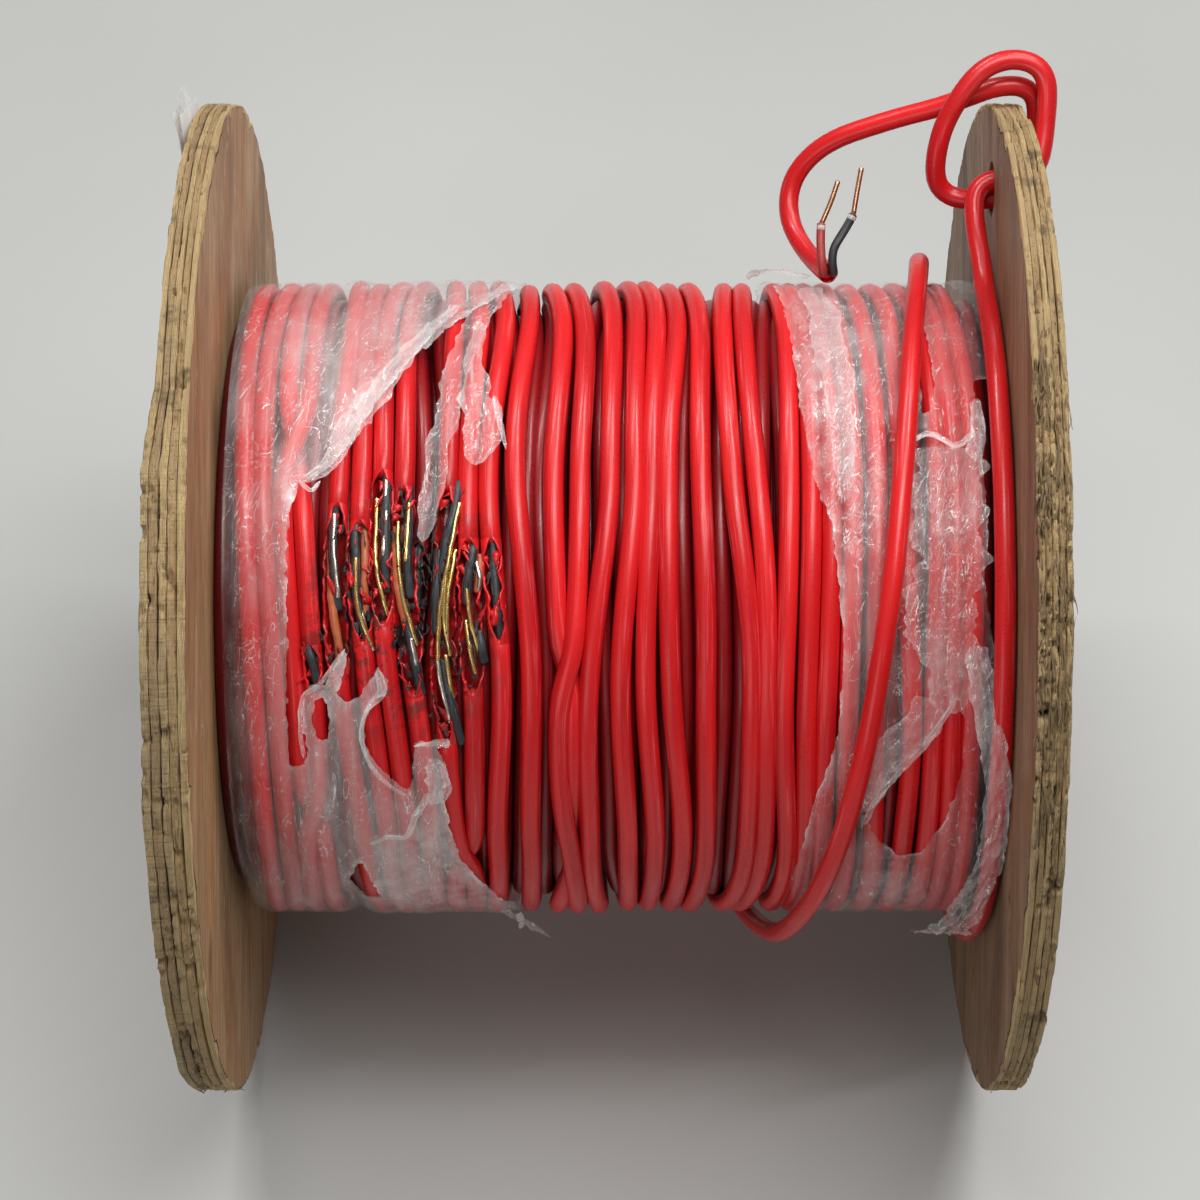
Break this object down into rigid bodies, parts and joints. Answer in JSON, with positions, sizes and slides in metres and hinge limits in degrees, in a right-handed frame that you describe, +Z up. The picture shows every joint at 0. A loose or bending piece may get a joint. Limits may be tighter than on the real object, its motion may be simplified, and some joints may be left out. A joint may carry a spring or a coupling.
{
  "type": "wire spool",
  "caption": "Plywood cable reel on a fibre drum, wound with red two-conductor cable under torn stretch film, its stripped free end tied off through a flange.",
  "frame": {"origin": "on the floor, under the middle of the reel, where the flats of its two rims rest", "axes": "+X along the reel's axis to the flange that the free end is tied through, +Y to the back, +Z up"},
  "size_m": [0.3493, 0.4064, 0.4054],
  "materials": {
    "plywood": "matte",
    "fibre": "matte",
    "zinc": "satin",
    "red_jacket": "satin",
    "red_insulation": "satin",
    "black_insulation": "satin",
    "copper": "satin",
    "stretch_film": "gloss",
    "label_paper": "matte"
  },
  "bodies": {
    "root": {"cable_free_end": "red_jacket", "cable_winding": "red_jacket", "conductor_black": "black_insulation", "conductor_red": "red_insulation", "copper_end_black": "copper", "copper_end_red": "copper", "drum_tube": "fibre", "film_left": "stretch_film", "film_right": "stretch_film", "flange_left": "plywood", "flange_right": "plywood", "label": "label_paper", "tie_bolt_1": "zinc", "tie_bolt_2": "zinc", "tie_bolt_3": "zinc", "tie_bolt_4": "zinc", "tie_nut_1": "zinc", "tie_nut_2": "zinc", "tie_nut_3": "zinc", "tie_nut_4": "zinc", "washer_left_1": "zinc", "washer_left_2": "zinc", "washer_left_3": "zinc", "washer_left_4": "zinc", "washer_right_1": "zinc", "washer_right_2": "zinc", "washer_right_3": "zinc", "washer_right_4": "zinc"}
  },
  "joints": []
}
